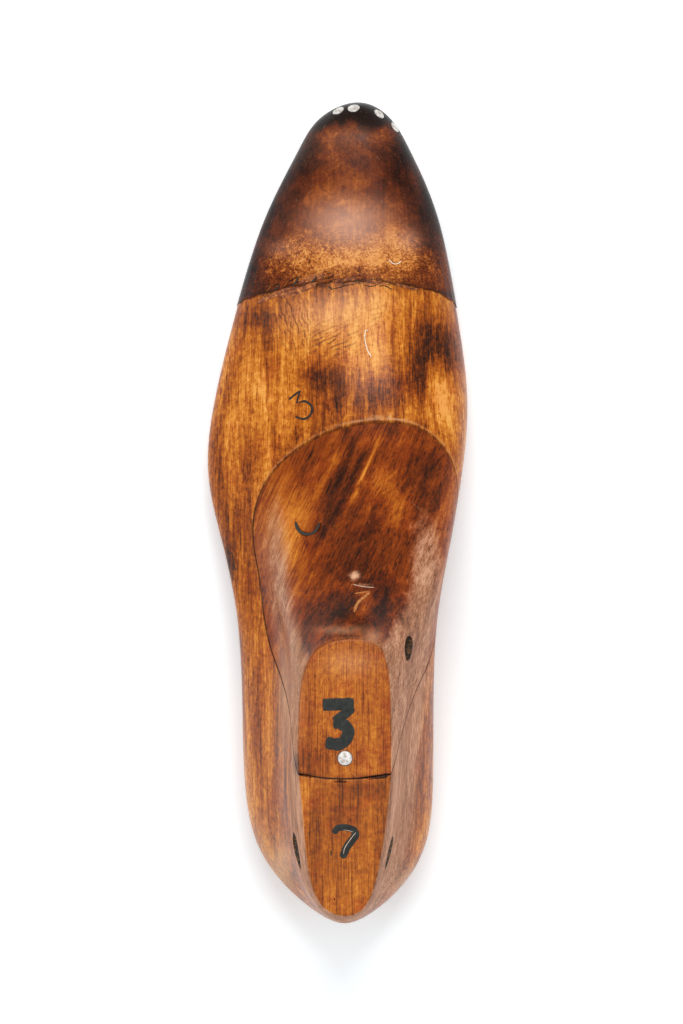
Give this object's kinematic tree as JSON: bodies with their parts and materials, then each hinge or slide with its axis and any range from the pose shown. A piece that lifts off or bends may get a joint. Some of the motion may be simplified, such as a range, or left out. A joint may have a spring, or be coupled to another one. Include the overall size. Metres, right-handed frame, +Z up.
{
  "type": "cobbler last",
  "caption": "Wooden foot-shaped shoe last with a pointed leather-covered toe, a lift-out instep block held by a steel pin, and a flat-topped heel cone",
  "frame": {"origin": "centre of the heel seat, on the surface that the last stands on", "axes": "+Y from heel to toe, +X towards the medial side of this left foot, +Z up out of the sole"},
  "size_m": [0.091, 0.2845, 0.098],
  "materials": {
    "body_wood": "waxed beech or maple, aged amber to brown",
    "block_wood": "waxed, darker, with streaks across the grain",
    "toe_leather": "dark waxed and scuffed",
    "nail_steel": "worn bright",
    "pin_steel": "worn bright",
    "spring_steel": "dull"
  },
  "bodies": {
    "last": {"last_body": "body_wood", "toe_cover": "toe_leather", "toe_nail_lateral": "nail_steel", "toe_nail_centre": "nail_steel", "toe_nail_medial": "nail_steel", "toe_nail_side": "nail_steel", "pin_sleeve": "spring_steel"},
    "block": {"scoop_block": "block_wood", "block_pin": "pin_steel"}
  },
  "joints": [
    {"name": "block_lift", "type": "slide", "parent": "last", "child": "block", "axis": [0, 0, 1], "range_m": [0, 0.1]}
  ]
}
